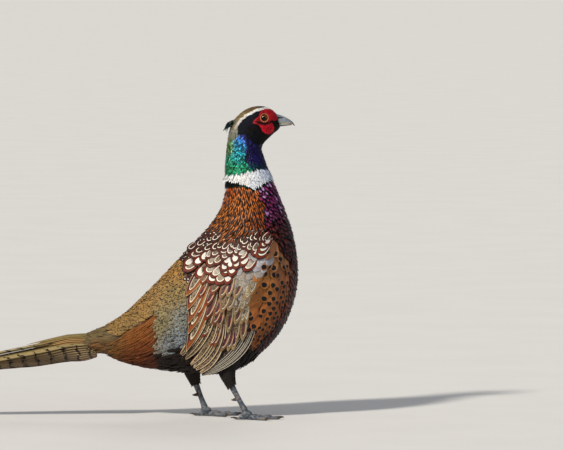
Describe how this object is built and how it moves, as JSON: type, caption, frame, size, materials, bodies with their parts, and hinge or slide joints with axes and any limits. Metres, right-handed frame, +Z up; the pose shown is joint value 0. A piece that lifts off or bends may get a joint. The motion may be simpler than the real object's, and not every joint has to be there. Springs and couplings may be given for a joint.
{
  "type": "common pheasant",
  "caption": "Life-size still model of a cock pheasant standing alert on both feet, with folded wings and a long pointed tail.",
  "frame": {"origin": "on the floor, at the centre of the whole bird's bounding box seen from above", "axes": "+X the way the bird faces, +Y its left side, +Z up"},
  "size_m": [0.7768, 0.1606, 0.4676],
  "materials": {
    "body_feathers": "copper and orange feathers with dark spots",
    "neck_feathers": "glossy green and violet feathers with a white ring",
    "head_feathers": "short dark feathers, buff crown",
    "bill_horn": "satin pale grey horn",
    "eye": "glossy, amber iris and black pupil",
    "wattle_skin": "bare red granular skin",
    "wing_feathers": "buff, grey and chestnut feathers",
    "tail_feathers": "olive buff feathers with black bars",
    "thigh_feathers": "dull dark brown feathers",
    "leg_scales": "grey scaled skin",
    "claw_horn": "dark satin horn"
  },
  "bodies": {
    "root": {"torso": "body_feathers", "neck": "neck_feathers", "head": "head_feathers", "bill_upper": "bill_horn", "bill_lower": "bill_horn", "eye_left": "eye", "eye_right": "eye", "wattle_left": "wattle_skin", "wattle_right": "wattle_skin", "wing_left": "wing_feathers", "wing_right": "wing_feathers", "tail": "tail_feathers", "thigh_left": "thigh_feathers", "thigh_right": "thigh_feathers", "tarsus_left": "leg_scales", "tarsus_right": "leg_scales", "foot_left": "leg_scales", "foot_right": "leg_scales", "spur_left": "claw_horn", "spur_right": "claw_horn", "claw_left_1": "claw_horn", "claw_left_2": "claw_horn", "claw_left_3": "claw_horn", "claw_left_4": "claw_horn", "claw_right_1": "claw_horn", "claw_right_2": "claw_horn", "claw_right_3": "claw_horn", "claw_right_4": "claw_horn"}
  },
  "joints": []
}
